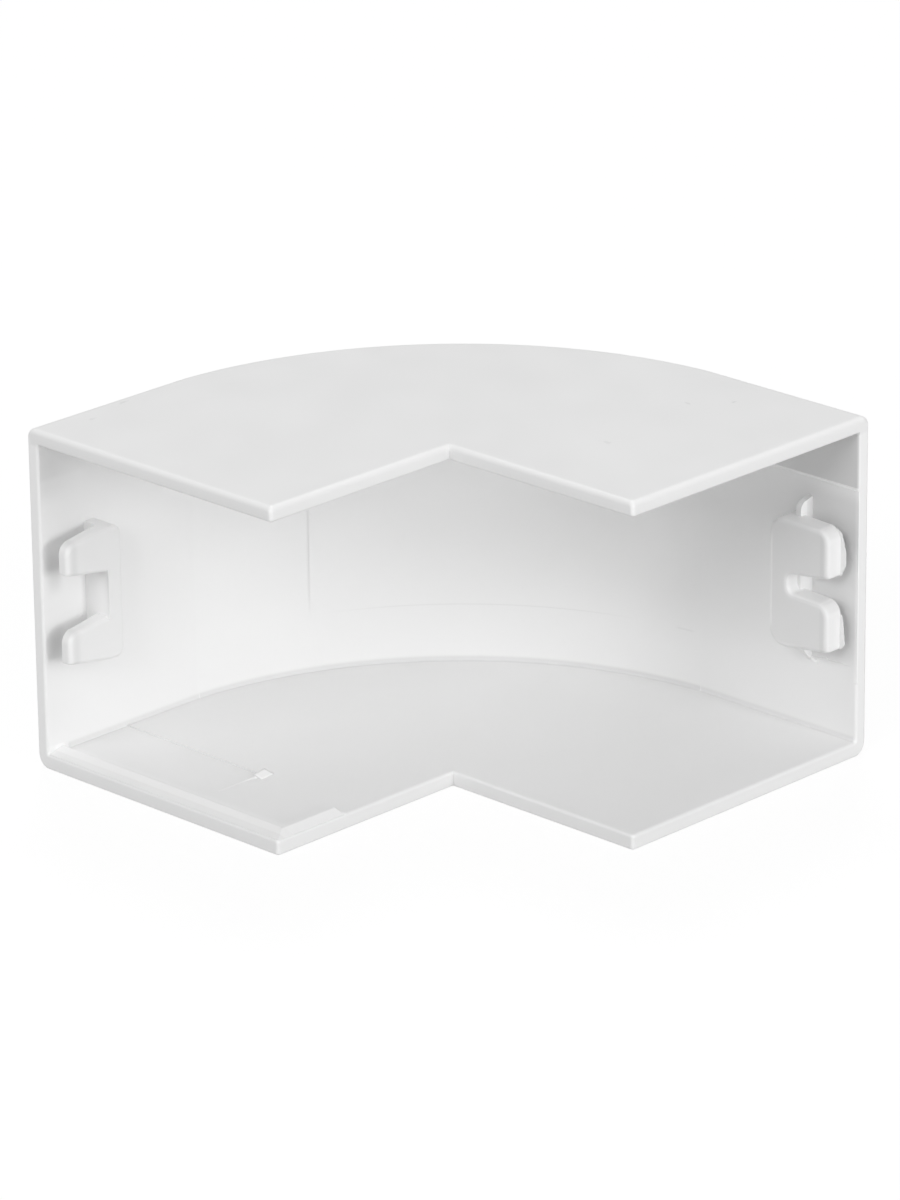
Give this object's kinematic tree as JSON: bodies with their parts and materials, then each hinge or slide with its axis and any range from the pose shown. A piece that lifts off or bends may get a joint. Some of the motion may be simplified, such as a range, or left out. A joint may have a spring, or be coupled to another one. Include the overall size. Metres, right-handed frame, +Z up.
{
  "type": "trunking corner",
  "caption": "One-piece outside corner cover for square wall trunking: a bent wall between two L-shaped cheeks, open at both ends and at the back, with a lid clip in each end.",
  "frame": {"origin": "foot of the notch line, where the building's corner edge meets the level of the lower cheek's underside", "axes": "+Z up the building's corner; one leg runs to -Y along the building's face x = 0, the other to +X along its face y = 0"},
  "size_m": [0.0906, 0.0906, 0.0553],
  "materials": {
    "cover": "satin white rigid plastic, smooth as moulded"
  },
  "bodies": {
    "root": {"corner_cover": "cover"}
  },
  "joints": []
}
